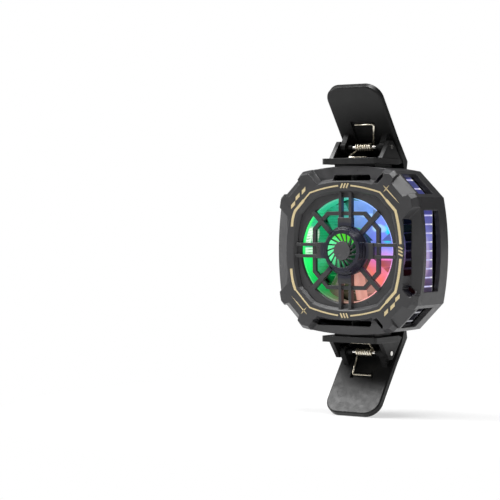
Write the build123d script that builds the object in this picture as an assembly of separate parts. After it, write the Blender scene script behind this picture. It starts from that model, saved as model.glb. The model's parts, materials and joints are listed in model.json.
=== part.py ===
from build123d import *
from math import asin, atan2, cos, degrees, hypot, pi, radians, sin, sqrt, tan
import os

os.makedirs("parts", exist_ok=True)

# Frame: the origin is the centre of the cold plate's outer face. +Y points out of that face
# towards the phone, +Z is up and +X is to the right of someone who looks at the grille.
# A depth is counted from the front face plane backwards, so y = depth - total_depth.

# Shared fits
seat_gap = 0.1            # between two pieces that are fitted into each other
skin_gap = 0.05           # between two curved faces that rest on each other
running_gap = 0.04        # radial play of a turning piece on its pin
overrun = 1.0             # how far a cutting tool runs past what it cuts

# Housing plan: a square with bowed sides and flat corners, sized outwards from the fan
fan_opening_radius = 21.4
window_margin = 3.0       # from the fan opening to the crest of the grille window
face_rim = 3.6            # from the window to the notches
notch_width = 6.2         # from a notch's inner edge to the crest of the side
side_bow_radius = 110.0   # radius of the bowed sides
corner_cut = 10.466       # how far each corner flat stands in from the square's corner
wall = 2.0                # shell and cover walls

window_half = fan_opening_radius + window_margin
notch_inner = window_half + face_rim
body_half = notch_inner + notch_width
corner_distance = body_half * sqrt(2) - corner_cut

# Depths of the layers, from the front face plane
cover_rear = 5.0
shell_rear = 24.0
rear_cover_thickness = 1.2
plate_stand = 1.8         # how far the cold plate stands out of the rear cover

rear_cover_rear = shell_rear + rear_cover_thickness
total_depth = rear_cover_rear + plate_stand

# Front cover
claw_bevel = 1.6          # how far the outline draws in towards the face plane
claw_bevel_depth = 2.7
cover_band = 8.2          # width of the solid band round the cover's hollow
face_thickness = 2.0
lip_height = 0.8
lip_wall = 1.2
facet_reach = 3.7         # from the corner facet's edge on the face plane to the corner flat
facet_depth = 4.6         # depth where the corner facet meets the corner flat
facet_half_inner = 3.5
facet_half_outer = 5.4

# Notches in the four sides
notch_half = 14.2         # half length of a notch's edge on the face plane
notch_bow_radius = 60.0   # of a notch's bowed inner edge
notch_depth = 3.0         # depth of the notch's floor where it starts
notch_wall_run = 1.3      # how far the inner wall leans out over that depth
notch_floor_fall = 0.9    # how much deeper the floor lies at the crest of the side
notch_end_taper = 20.0    # degrees that the end walls lean
slot_end_slant = 1.0
slot_round = 0.8
top_slot_left = 7.4       # how far each slot runs from the middle of its side
top_slot_right = 11.0
top_slot_setback = 0.2    # from the notch's edge to the slot
top_slot_width = 2.3
right_slot_top = 13.4
right_slot_bottom = 10.4
right_slot_setback = -0.6
right_slot_width = 1.8
right_slot_lean = 35.0    # degrees that its inner wall leans in under the face
bottom_slot_left = 15.6
bottom_slot_right = 11.4
bottom_slot_setback = 0.0
bottom_slot_width = 2.5
end_slot_length = 5.4     # slanted air slot at one end of a notch
end_slot_width = 2.6
end_slot_along = 15.7     # place of its middle along the side
end_slot_in = 5.1         # and in from the crest of the side

facet_inner = corner_distance - facet_reach
notch_foot = notch_inner + notch_wall_run

# Grille window and grille
window_bow_radius = 50.0
window_corner_cut = 8.107
window_bevel = 1.2
window_bevel_depth = 1.4
grille_front = 1.6
grille_rear = 2.5
opening_chamfer = 0.5
bar_width = 1.3
bar_offset = 2.35
bar_front = 0.5
web_half = 15.0
web_corner = 16.7
web_width = 1.6
web_front = 1.1
spoke_width = 1.9
spoke_front = 0.8
block_half = 3.2
block_outer = 13.3
block_front = 0.1
grille_ring_outer = 10.2
grille_ring_inner = 7.4

window_corner = window_half * sqrt(2) - window_corner_cut

# Hub cap on the grille
hub_front = -2.3
hub_front_radius = 8.0
hub_base_radius = 9.9
hub_base_depth = 1.1
hub_bore_radius = 6.9
hub_disc_radius = 3.8
hub_disc_front = -2.0
hub_disc_rear = -0.2
vane_count = 17
vane_thickness = 0.6
vane_front = -1.6
vane_rear = -0.4
vane_sweep = 24.0         # degrees that a vane leans from the radius
hub_step_half = 3.4
hub_step_count = 3
hub_step_reach = 0.5      # how far the lowest step stands out of the cone

# Windows in the outer shell
side_window_front = 6.1
side_window_rear = 18.0
side_window_half = 16.2
corner_window_front = 5.9
corner_window_half = 5.7

# Screw bosses inside the shell
boss_radius = 2.2
boss_in_x = 5.2           # in from the crest of the side
boss_in_z = 13.9
boss_bore_radius = 0.85
cover_screw_radius = 0.8
cover_screw_head_radius = 1.7
cover_screw_head_height = 0.7
cover_screw_length = 8.0

boss_x = body_half - boss_in_x
boss_z = body_half - boss_in_z

# Rear cover, cold plate and cooling stack
rear_cover_inset = 0.4
rear_lip_height = 1.5
plate_margin = 14.2       # from the plate's edge to the crest of the side
plate_corner_radius = 3.0
plate_flange_width = 2.0
plate_flange_thickness = 1.3
module_margin = 5.0       # from the module's edge to the edge of the plate
module_thickness = 3.2
gasket_gap = 0.5
sink_base_thickness = 2.0
sink_margin_z = 4.7       # from the base's edge to the crest above or below
sink_wall_gap = 0.5       # between the heatsink's corners and the shell's wall
fin_count = 17
fin_pitch = 3.55
fin_thickness = 0.6
fin_end_gap = 3.6         # from the fins' ends to the crest of the side
fin_front = 6.2
fin_pocket_gap = 0.3      # between the light ring and the fins round it
fin_pocket_rear = 13.0
boss_gap = 0.3            # between the fins and the screw bosses

plate_half = body_half - plate_margin
plate_flange_half = plate_half + plate_flange_width
module_half = plate_half - module_margin
gasket_half = plate_half
sink_half_z = body_half - sink_margin_z

# Fan
motor_base_radius = 9.5
motor_base_thickness = 1.0
motor_arm_count = 4
motor_arm_width = 3.0
motor_arm_reach = 15.0
tube_outer_radius = 2.7
tube_inner_radius = 1.9
tube_front = 6.4
bearing_bore_radius = 0.95
shaft_radius = 0.9
stator_front = 7.0
stator_rear = 10.6
stator_outer_radius = 6.9
stator_core_radius = 4.0
stator_pole_count = 6
stator_pole_width = 2.0
stator_shoe_thickness = 0.9
stator_shoe_degrees = 44.0
magnet_inner_radius = 7.4
magnet_outer_radius = 8.4
magnet_front = 6.6
magnet_rear = 11.0
rotor_cup_radius = 9.3
rotor_front = 4.4
rotor_top_thickness = 1.1
rotor_rear = 11.4
blade_count = 9
blade_tip_gap = 1.1       # from the blades' tips to the fan opening
blade_front = 6.2
blade_rear = 11.2
blade_thickness = 0.8
blade_chord_width = 8.0   # how far a blade runs round the fan
blade_bow_share = 0.16    # bow of the blade's section, as a share of its chord

# Light ring and its board
light_ring_show = 0.5     # how far the ring stands in from the fan opening
light_ring_wall = 1.1
light_board_gap = 0.2
light_board_width = 3.4
light_board_thickness = 1.0
emitter_count = 8
emitter_length = 2.2
emitter_width = 1.8
emitter_height = 0.8
light_ring_rear = 9.4
light_flange_thickness = 1.0

light_ring_inner = fan_opening_radius - light_ring_show
light_ring_outer = light_ring_inner + light_ring_wall
light_board_inner = light_ring_outer + light_board_gap
light_board_outer = light_board_inner + light_board_width
light_flange_outer = light_board_outer - light_board_gap
fin_half_length = body_half - fin_end_gap
fin_pocket_radius = light_ring_outer + fin_pocket_gap
blade_tip_radius = fan_opening_radius - blade_tip_gap

# Power socket and control board, on the left side
socket_width = 9.0
socket_height = 3.2
socket_length = 7.3
socket_wall = 0.35
socket_floor = 0.8
tongue_width = 6.6
tongue_thickness = 0.7
tongue_length = 4.6
socket_setback = 0.3
board_thickness = 1.2
board_half = 13.0
board_width = 6.5
board_wall_gap = 4.5      # from the board's outer edge to the crest of the side
chip_size = 4.0
chip_height = 1.0
chip_spacing = 8.5

board_outer = body_half - board_wall_gap
board_inner = board_outer - board_width

# Clip bracket
bracket_half = 12.9
bracket_front = 3.2
bracket_rear = 23.0
bracket_lift = 0.8        # from the crest of the side to the base plate
bracket_thickness = 2.4
bracket_corner = 1.2
foot_half = 9.5
foot_front = 8.0
foot_rear = 21.8
pin_depth = 16.0
pin_lift = 7.0            # from the base plate's underside to the pin
pin_radius = 0.75
pin_head_radius = 0.95
pin_head_height = 0.3
ear_inner = 10.8
ear_thickness = 1.8
ear_foot_front = 7.4      # ear outline, as distances from the pin
ear_top_front = 1.6
ear_top = 2.6
ear_top_rear = 1.2
ear_foot_rear = 8.9
ear_foot_drop = 6.2
bracket_screw_x = 6.0
bracket_screw_depth = 19.6
bracket_screw_radius = 1.0
bracket_screw_head_radius = 1.8
bracket_screw_head_height = 1.1
bracket_screw_length = 5.6
shell_boss_radius = 2.3
shell_boss_height = 2.4

bracket_bottom = body_half + bracket_lift
pin_height = bracket_bottom + pin_lift

# Clip lever, laid out from the pin along the tab (up) and square to it (out)
lever_lean = 36.5         # degrees from upright
lever_half = 12.65
lever_face = 4.25         # pin axis to the tab's front face
lever_thickness = 2.6
lever_tip = 26.5
lever_corner_radius = 6.5
lever_elbow = 10.2        # where the front face turns, down from the pin
lever_heel = 12.4
lever_heel_out = 7.4
jaw_lead = 0.5            # how far the jaw's inner face stands in front of the plate face
jaw_thickness = 2.3
jaw_top_drop = 8.2        # down from the pin
jaw_bottom_drop = 21.0
lever_chamfer = 0.45      # along the outline of the tab's front face
pocket_half = 5.5
pocket_top = 10.0
pocket_bottom = -1.0
pocket_depth = 0.9
lug_inner = 8.0
lug_outer = 10.4
lug_radius = 2.5
lug_root_up = 4.5
lug_root_down = 5.0
sleeve_inner = 5.6
sleeve_radius = 1.25

jaw_inner = total_depth - jaw_lead
jaw_outer = jaw_inner + jaw_thickness
jaw_top = pin_height - jaw_top_drop
jaw_bottom = pin_height - jaw_bottom_drop

# Jaw pad
pad_half = 10.0
pad_top_margin = 1.2
pad_bottom_margin = 0.9
pad_thickness = 1.0
pad_rib_count = 5
pad_rib_width = 1.0
pad_groove_depth = 0.35

pad_top = jaw_top - pad_top_margin
pad_bottom = jaw_bottom + pad_bottom_margin

# Clip spring
wire_radius = 0.33
coil_mean_radius = 1.36
coil_left = -4.2
coil_right = 3.7
whole_turns = 7
leg_bend_radius = 0.9
hook_leg_length = 9.4
hook_bar_end = -4.0
pocket_floor_gap = 0.08
base_leg_slope = 29.4     # degrees below level
base_bar_end = 3.7
base_gap = 0.06

plate_top = bracket_bottom + bracket_thickness
lean = radians(lever_lean)


# Planes and slabs

def at_depth(depth):
    """Plane across the housing whose local x and y are X and Z; it faces the front."""
    return Plane(origin=(0, depth - total_depth, 0), x_dir=(1, 0, 0), z_dir=(0, -1, 0))


def slab(sketch, front, rear):
    """The sketch's outline as a solid between two depths."""
    return extrude(at_depth(rear) * sketch, amount=rear - front)


def disc(radius, front, rear, bore=0):
    """Round slab about the fan axis, with an optional bore."""
    ring = Circle(radius)
    if bore:
        ring = ring - Circle(bore)
    return slab(ring, front, rear)


def across(points, half, start=None):
    """A (depth, height) outline as a solid that runs along X."""
    outline = make_face(Polyline(*points, close=True))
    begin = -half if start is None else start
    side = Plane(origin=(begin, -total_depth, 0), x_dir=(0, 1, 0), z_dir=(1, 0, 0))
    return extrude(side * outline, amount=half - begin)


def rod(radius, left, right, depth, height, bore=0):
    """Cylinder along X at a depth and height."""
    ring = Circle(radius)
    if bore:
        ring = ring - Circle(bore)
    side = Plane(origin=(left, depth - total_depth, height), x_dir=(0, 1, 0), z_dir=(1, 0, 0))
    return extrude(side * ring, amount=right - left)


def quarter_turns(shape, turns=(0, 1, 2, 3)):
    """Copies of a shape turned about the fan axis by quarters."""
    return [Rot(0, 90 * turn, 0) * shape for turn in turns]


def bowed_octagon(half, bow_radius, corner):
    """Square with bowed sides and flat corners, by the distances of its crests and flats."""
    reach = corner * sqrt(2)
    lift = reach - (half - bow_radius)
    along = (lift - sqrt(2 * bow_radius ** 2 - lift ** 2)) / 2
    out = reach - along
    edges = []
    for turn in range(4):
        spin = Rot(0, 0, -90 * turn)
        edges.append(spin * ThreePointArc((-along, out), (0, half), (along, out)))
        edges.append(spin * Line((along, out), (out, along)))
    return make_face(edges)


def plan(inset=0):
    """Outline of the housing, drawn in by an inset."""
    return bowed_octagon(body_half - inset, side_bow_radius - inset, corner_distance - inset)


def window(inset=0):
    """Outline of the grille window, drawn in by an inset."""
    return bowed_octagon(window_half - inset, window_bow_radius - inset, window_corner - inset)


# Housing

def corner_facet():
    """Tool that cuts the sloped facet in the upper right corner of the cover."""
    half_slope = sqrt(2) / 2
    outer = corner_distance + overrun
    slope = facet_depth / (corner_distance - facet_inner)
    wedge = [
        (facet_inner - overrun, -overrun * slope),
        (outer, (outer - facet_inner) * slope),
        (outer, -overrun * slope),
    ]
    side = Plane(origin=(0, -total_depth, 0), x_dir=(half_slope, 0, half_slope),
                 z_dir=(half_slope, 0, -half_slope))
    # The side plane's local y runs towards the front, so depths change sign.
    outline = make_face(Polyline(*[(out, -depth) for out, depth in wedge], close=True))
    block = extrude(side * outline, amount=body_half, both=True)
    widen = (facet_half_outer - facet_half_inner) / (corner_distance - facet_inner)
    near = facet_half_inner - widen * overrun
    far = facet_half_outer + widen * overrun
    fan_shape = make_face(Polyline((facet_inner - overrun, near), (outer, far), (outer, -far),
                                   (facet_inner - overrun, -near), close=True))
    spread = slab(Rot(0, 0, 45) * fan_shape, -facet_depth, facet_depth + facet_depth)
    return block & spread


def notch_tool():
    """Tool that cuts the recess in the top side of the cover."""
    fall = notch_floor_fall / (body_half - notch_foot)
    far = body_half + overrun
    low = notch_inner - notch_half / 2
    profile = [
        (-overrun, low),
        (notch_depth, low),
        (notch_depth, notch_foot),
        (notch_depth + fall * (far - notch_foot), far),
        (-overrun, far),
    ]
    slope = notch_wall_run / notch_depth
    height = notch_depth + 2 * overrun
    cone = Cone(notch_bow_radius + slope * (notch_depth + overrun),
                notch_bow_radius - slope * overrun, height)
    middle = notch_depth + overrun - height / 2
    trough = across(profile, body_half)
    trough -= Pos(0, middle - total_depth, notch_inner - notch_bow_radius) * Rot(90, 0, 0) * cone
    deep = notch_depth + notch_floor_fall + overrun
    beyond = far + deep
    spread = [
        (-notch_half / 2, low), (-notch_half - beyond + notch_inner, beyond),
        (notch_half + beyond - notch_inner, beyond), (notch_half / 2, low),
    ]
    funnel = extrude(at_depth(0) * make_face(Polyline(*spread, close=True)), amount=-deep,
                     taper=notch_end_taper)
    mouth = slab(make_face(Polyline(*spread, close=True)), -overrun, 0)
    return trough & (funnel + mouth)


def slot_tool(left, right, setback, width, lean_in=0):
    """Tool for the long air slot in the top notch, by its reach to each side."""
    near = notch_inner + setback
    far = near + width
    deep = cover_rear + overrun
    drift = deep * tan(radians(lean_in))
    outline = make_face(Polyline((-left, near - drift), (slot_end_slant - left, far),
                                 (right - slot_end_slant, far), (right, near - drift),
                                 close=True))
    outline = fillet(outline.vertices(), radius=slot_round)
    rise = overrun * tan(radians(lean_in))
    section = across([(-overrun, near + rise), (-overrun, far), (deep, far),
                      (deep, near - drift)], body_half)
    return slab(outline, -overrun, deep) & section


def end_slot_tool():
    """Tool for the slanted air slot at the right end of the top notch."""
    outline = Pos(end_slot_along, body_half - end_slot_in) * Rot(0, 0, 45) * SlotOverall(
        end_slot_length, end_slot_width)
    return slab(outline, -overrun, cover_rear + overrun)


def front_cover():
    bevel = loft([at_depth(0) * plan(claw_bevel), at_depth(claw_bevel_depth) * plan()], ruled=True)
    body = bevel + slab(plan(), claw_bevel_depth, cover_rear)
    body -= slab(plan(cover_band), face_thickness, cover_rear + overrun)
    body += slab(plan(wall + seat_gap) - plan(wall + seat_gap + lip_wall), cover_rear,
                 cover_rear + lip_height)
    for tool in quarter_turns(corner_facet()):
        body -= tool
    for tool in quarter_turns(notch_tool()):
        body -= tool
    body -= slot_tool(top_slot_left, top_slot_right, top_slot_setback, top_slot_width)
    body -= Rot(0, 90, 0) * slot_tool(right_slot_top, right_slot_bottom, right_slot_setback,
                                      right_slot_width, right_slot_lean)
    body -= Rot(0, 180, 0) * slot_tool(bottom_slot_right, bottom_slot_left,
                                       bottom_slot_setback, bottom_slot_width)
    body -= end_slot_tool()
    body -= Rot(0, 90, 0) * end_slot_tool()
    body -= Rot(0, 180, 0) * mirror(end_slot_tool(), about=Plane.YZ)
    rim = loft([at_depth(0) * window(), at_depth(window_bevel_depth) * window(window_bevel)],
               ruled=True)
    body -= rim
    body -= slab(window(window_bevel), 0, face_thickness + overrun)
    body -= slab(window(-seat_gap), grille_front, face_thickness + overrun)
    return body


def outer_shell():
    body = slab(plan() - plan(wall), cover_rear, shell_rear)
    for side in (-1, 1):
        for end in (-1, 1):
            body += Pos(side * boss_x, 0, end * boss_z) * disc(
                boss_radius, cover_rear + lip_height + seat_gap,
                shell_rear - rear_lip_height - seat_gap)
    for side in (-1, 1):
        for screw_x in (-bracket_screw_x, bracket_screw_x):
            boss = Pos(screw_x, bracket_screw_depth - total_depth,
                       side * (body_half - wall - shell_boss_height / 2))
            body += boss * Cylinder(shell_boss_radius, shell_boss_height + wall)
    body &= slab(plan(), cover_rear, shell_rear)
    middle = (side_window_front + side_window_rear) / 2
    opening = Box(body_half * 3, side_window_rear - side_window_front, side_window_half * 2)
    body -= Pos(0, middle - total_depth, 0) * opening
    corner_middle = (corner_window_front + side_window_rear) / 2
    corner_box = Box(wall * 4, side_window_rear - corner_window_front, corner_window_half * 2)
    for turn in range(4):
        place = Rot(0, 45 + 90 * turn, 0) * Pos(corner_distance, corner_middle - total_depth, 0)
        body -= place * corner_box
    for side in (-1, 1):
        for end in (-1, 1):
            body -= Pos(side * boss_x, 0, end * boss_z) * disc(
                boss_bore_radius, shell_rear - rear_lip_height - cover_screw_length,
                shell_rear)
    for side in (-1, 1):
        for screw_x in (-bracket_screw_x, bracket_screw_x):
            bore = Pos(screw_x, bracket_screw_depth - total_depth, side * body_half)
            body -= bore * Cylinder(bracket_screw_radius + skin_gap, body_half / 2)
    body -= socket_block(seat_gap, overrun)
    return body


def rear_cover():
    body = slab(plan(wall + seat_gap) - plan(wall + seat_gap + lip_wall),
                shell_rear - rear_lip_height, shell_rear)
    for side in (-1, 1):
        for end in (-1, 1):
            body += Pos(side * boss_x, 0, end * boss_z) * disc(
                boss_radius, shell_rear - rear_lip_height, shell_rear)
    body &= slab(plan(wall + seat_gap), cover_rear, shell_rear)
    body += slab(plan(rear_cover_inset), shell_rear, rear_cover_rear)
    opening = RectangleRounded(2 * (plate_half + seat_gap), 2 * (plate_half + seat_gap),
                               plate_corner_radius + seat_gap)
    body -= slab(opening, shell_rear - overrun, rear_cover_rear + overrun)
    for side in (-1, 1):
        for end in (-1, 1):
            place = Pos(side * boss_x, 0, end * boss_z)
            body -= place * disc(boss_bore_radius, shell_rear - rear_lip_height - overrun,
                                 rear_cover_rear + overrun)
            body -= place * disc(cover_screw_head_radius + seat_gap,
                                 rear_cover_rear - cover_screw_head_height,
                                 rear_cover_rear + overrun)
    body -= socket_block(seat_gap)
    return body


def cover_screws():
    screws = []
    seat = rear_cover_rear - cover_screw_head_height
    for side in (-1, 1):
        for end in (-1, 1):
            screw = disc(cover_screw_radius, seat - cover_screw_length + overrun, seat)
            screw += disc(cover_screw_head_radius, seat, rear_cover_rear)
            screws.append(Pos(side * boss_x, 0, end * boss_z) * screw)
    return Compound(children=[Solid(screw.solid().wrapped) for screw in screws])


# Grille and hub cap

def fan_grille():
    plate = slab(window(seat_gap / 2) - Circle(fan_opening_radius), grille_front, grille_rear)
    flare = Cone(fan_opening_radius, fan_opening_radius + opening_chamfer, opening_chamfer)
    plate -= Pos(0, grille_front + opening_chamfer / 2 - total_depth, 0) * Rot(90, 0, 0) * flare
    body = plate + disc(grille_ring_outer, web_front, grille_rear)
    bar_reach = window_half - window_bevel - seat_gap
    bars = slab(Pos(bar_offset, bar_reach / 2) * Rectangle(bar_width, bar_reach), bar_front,
                grille_rear)
    bars += slab(Pos(-bar_offset, bar_reach / 2) * Rectangle(bar_width, bar_reach), bar_front,
                 grille_rear)
    bars += slab(Pos(0, block_outer / 2) * Rectangle(2 * block_half, block_outer), block_front,
                 grille_rear)
    for copy in quarter_turns(bars):
        body += copy
    ends = slab(Pos(bar_offset, window_half / 2) * Rectangle(bar_width, window_half), bar_front,
                window_bevel_depth)
    ends += slab(Pos(-bar_offset, window_half / 2) * Rectangle(bar_width, window_half),
                 bar_front, window_bevel_depth)
    bevel = loft([at_depth(0) * window(seat_gap),
                  at_depth(window_bevel_depth) * window(window_bevel + seat_gap)], ruled=True)
    for copy in quarter_turns(ends & bevel):
        body += copy
    spoke = slab(Pos(0, fan_opening_radius / 2) * Rectangle(
        spoke_width, fan_opening_radius + opening_chamfer * 2), spoke_front, grille_rear)
    for copy in quarter_turns(Rot(0, 45, 0) * spoke):
        body += copy
    straight = side_bow_radius * 10
    outer_web = bowed_octagon(web_half + web_width / 2, straight, web_corner + web_width / 2)
    inner_web = bowed_octagon(web_half - web_width / 2, straight, web_corner - web_width / 2)
    body += slab(outer_web - inner_web, web_front, grille_rear)
    body -= disc(hub_base_radius + seat_gap, block_front - overrun, hub_base_depth)
    body -= disc(grille_ring_inner, block_front - overrun, grille_rear + overrun)
    return body


def hub_cap():
    height = hub_base_depth - hub_front
    cone = Cone(hub_base_radius, hub_front_radius, height)
    body = Pos(0, hub_base_depth - height / 2 - total_depth, 0) * Rot(90, 0, 0) * cone
    step_height = height / hub_step_count
    for step in range(hub_step_count):
        front = hub_base_depth - step_height * (step + 1)
        lean_in = (hub_base_radius - hub_front_radius) * (step + 1) / hub_step_count
        reach = hub_base_radius - lean_in + hub_step_reach
        block = slab(Rectangle(2 * hub_step_half, 2 * reach) & Circle(reach), front,
                     hub_base_depth)
        limit = disc(hub_base_radius, hub_front, hub_base_depth)
        body += block & limit
        body += (Rot(0, 90, 0) * block) & limit
    body -= disc(hub_bore_radius, hub_front - overrun, hub_base_depth + overrun)
    body += disc(hub_disc_radius, hub_disc_front, hub_disc_rear)
    middle = (hub_disc_radius + hub_bore_radius) / 2
    length = hub_bore_radius - hub_disc_radius + overrun
    vane = Pos(0, middle) * Rot(0, 0, vane_sweep) * Rectangle(vane_thickness, length)
    for index in range(vane_count):
        body += slab(Rot(0, 0, 360 * index / vane_count) * vane, vane_front, vane_rear)
    return body


# Lights

def light_board():
    return disc(light_board_outer, grille_rear, grille_rear + light_board_thickness,
                light_board_inner)


def light_emitters():
    front = grille_rear + light_board_thickness
    radius = (light_board_inner + light_board_outer) / 2
    block = slab(Pos(radius, 0) * Rectangle(emitter_width, emitter_length), front,
                 front + emitter_height)
    copies = [Rot(0, 360 * (index + 1 / 2) / emitter_count, 0) * block
              for index in range(emitter_count)]
    return Compound(children=[Solid(copy.solid().wrapped) for copy in copies])


def light_ring():
    step = grille_rear + light_board_thickness + emitter_height
    body = disc(light_ring_outer, grille_rear, light_ring_rear, light_ring_inner)
    body += disc(light_flange_outer, step, step + light_flange_thickness, light_ring_inner)
    return body


# Cooling stack

flange_front = shell_rear - plate_flange_thickness
module_front = flange_front - module_thickness
sink_front = module_front - sink_base_thickness


def cold_plate():
    body = slab(RectangleRounded(2 * plate_half, 2 * plate_half, plate_corner_radius),
                flange_front, total_depth)
    body += slab(RectangleRounded(2 * plate_flange_half, 2 * plate_flange_half,
                                  plate_corner_radius), flange_front, shell_rear)
    return body


def cooling_module():
    return slab(Rectangle(2 * module_half, 2 * module_half), module_front, flange_front)


def module_gasket():
    inner = 2 * (module_half + gasket_gap)
    frame = Rectangle(2 * gasket_half, 2 * gasket_half) - Rectangle(inner, inner)
    return slab(frame, module_front, flange_front)


def heatsink():
    body = slab(Rectangle(2 * fin_half_length, 2 * sink_half_z), sink_front, module_front)
    fin_row = Rectangle(2 * fin_half_length, fin_thickness)
    middle = (fin_count - 1) / 2
    fins = [Pos(0, (index - middle) * fin_pitch) * fin_row for index in range(fin_count)]
    for fin in fins:
        body += slab(fin, fin_front, sink_front)
    body -= disc(fin_pocket_radius, fin_front - overrun, fin_pocket_rear)
    for side in (-1, 1):
        for end in (-1, 1):
            body -= Pos(side * boss_x, 0, end * boss_z) * disc(
                boss_radius + boss_gap, fin_front - overrun, module_front + overrun)
    body &= slab(plan(wall + sink_wall_gap), fin_front, module_front)
    for side in (-1, 1):
        for screw_x in (-bracket_screw_x, bracket_screw_x):
            room = Pos(screw_x, bracket_screw_depth - total_depth, side * body_half)
            body -= room * Cylinder(
                shell_boss_radius + boss_gap, 3 * wall + 2 * (shell_boss_height + boss_gap))
    return body


# Fan

motor_base_front = fin_pocket_rear - motor_base_thickness


def fan_frame():
    body = disc(motor_base_radius, motor_base_front, fin_pocket_rear)
    arm = slab(Pos(motor_arm_reach / 2, 0) * Rectangle(motor_arm_reach, motor_arm_width),
               motor_base_front, fin_pocket_rear)
    for index in range(motor_arm_count):
        body += Rot(0, 360 * (index + 1 / 2) / motor_arm_count, 0) * arm
    body += disc(tube_outer_radius, tube_front, fin_pocket_rear)
    body -= disc(tube_inner_radius, tube_front - overrun, motor_base_front)
    return body


def fan_bearing():
    return disc(tube_inner_radius, tube_front, motor_base_front, bearing_bore_radius)


def motor_stator():
    body = disc(stator_core_radius, stator_front, stator_rear)
    pole = slab(Pos(stator_outer_radius / 2, 0) * Rectangle(stator_outer_radius,
                                                            stator_pole_width),
                stator_front, stator_rear)
    for index in range(stator_pole_count):
        body += Rot(0, 360 * index / stator_pole_count, 0) * pole
    rim = disc(stator_outer_radius, stator_front, stator_rear,
               stator_outer_radius - stator_shoe_thickness)
    gap_degrees = 360 / stator_pole_count - stator_shoe_degrees
    gap_width = 2 * stator_outer_radius * sin(radians(gap_degrees / 2))
    gap = slab(Pos(stator_outer_radius, 0) * Rectangle(stator_outer_radius, gap_width),
               stator_front - overrun, stator_rear + overrun)
    for index in range(stator_pole_count):
        rim -= Rot(0, 360 * (index + 1 / 2) / stator_pole_count, 0) * gap
    body += rim
    body &= disc(stator_outer_radius, stator_front, stator_rear)
    body -= disc(tube_outer_radius, stator_front - overrun, stator_rear + overrun)
    return body


def rotor_magnet():
    return disc(magnet_outer_radius, magnet_front, magnet_rear, magnet_inner_radius)


def fan_shaft():
    return disc(shaft_radius, rotor_front + rotor_top_thickness, motor_base_front - seat_gap)


def blade():
    """One blade: a bowed section drawn across the fan and run out along the radius."""
    rise = blade_rear - blade_front
    chord = hypot(blade_chord_width, rise)
    bow = chord * blade_bow_share
    half = chord / 2
    upper = ThreePointArc((-half, 0), (0, bow + blade_thickness / 2), (half, 0))
    lower = ThreePointArc((half, 0), (0, bow - blade_thickness / 2), (-half, 0))
    section = make_face([upper, lower])
    pitch_angle = degrees(atan2(rise, blade_chord_width))
    middle = (blade_front + blade_rear) / 2
    side = Plane(origin=(rotor_cup_radius - blade_thickness, middle - total_depth, 0),
                 x_dir=(0, 0, 1), z_dir=(1, 0, 0))
    return extrude(side * Rot(0, 0, pitch_angle) * section, amount=blade_tip_radius)


def fan_rotor():
    cup = disc(rotor_cup_radius, rotor_front, rotor_rear)
    cup = fillet(cup.edges().filter_by(GeomType.CIRCLE).group_by(Axis.Y)[0],
                 radius=rotor_top_thickness / 2)
    reach = disc(blade_tip_radius, blade_front, blade_rear, rotor_cup_radius - seat_gap)
    for index in range(blade_count):
        cup += (Rot(0, 360 * index / blade_count, 0) * blade()) & reach
    cup -= disc(magnet_outer_radius, rotor_front + rotor_top_thickness, rotor_rear + overrun)
    return cup


# Power socket and control board

board_front = shell_rear - board_thickness
socket_depth = board_front - socket_height / 2


def socket_block(grow=0, lead=0):
    """The socket's rounded outer block, grown by a gap and run out past the wall."""
    face = RectangleRounded(socket_height + 2 * grow, socket_width + 2 * grow,
                            socket_height / 2 - skin_gap + grow)
    start = socket_setback - body_half - lead
    side = Plane(origin=(start, socket_depth - total_depth, 0), x_dir=(0, 1, 0), z_dir=(1, 0, 0))
    return extrude(side * face, amount=socket_length + lead + grow)


def power_socket():
    body = socket_block()
    mouth = RectangleRounded(socket_height - 2 * socket_wall, socket_width - 2 * socket_wall,
                             socket_height / 2 - skin_gap - socket_wall)
    start = socket_setback - body_half
    side = Plane(origin=(start, socket_depth - total_depth, 0), x_dir=(0, 1, 0), z_dir=(1, 0, 0))
    body -= extrude(side * mouth, amount=socket_length - socket_floor)
    tongue = Box(tongue_length + socket_floor, tongue_thickness, tongue_width)
    centre = start + socket_length - (tongue_length + socket_floor) / 2
    body += Pos(centre, socket_depth - total_depth, 0) * tongue
    return body


def control_board():
    middle = (board_inner + board_outer) / 2
    body = slab(Pos(-middle, 0) * Rectangle(board_outer - board_inner, 2 * board_half),
                board_front, shell_rear)
    for end in (-1, 1):
        chip = Pos(-middle, end * chip_spacing) * Rectangle(chip_size, chip_size)
        body += slab(chip, board_front - chip_height, board_front)
    return body


# Clip, in its upper place

def from_pin(up, out):
    """(depth, height) of a point given along the tab and square to it, from the pin."""
    depth = pin_depth - up * sin(lean) + out * cos(lean)
    height = pin_height + up * cos(lean) + out * sin(lean)
    return depth, height


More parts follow.
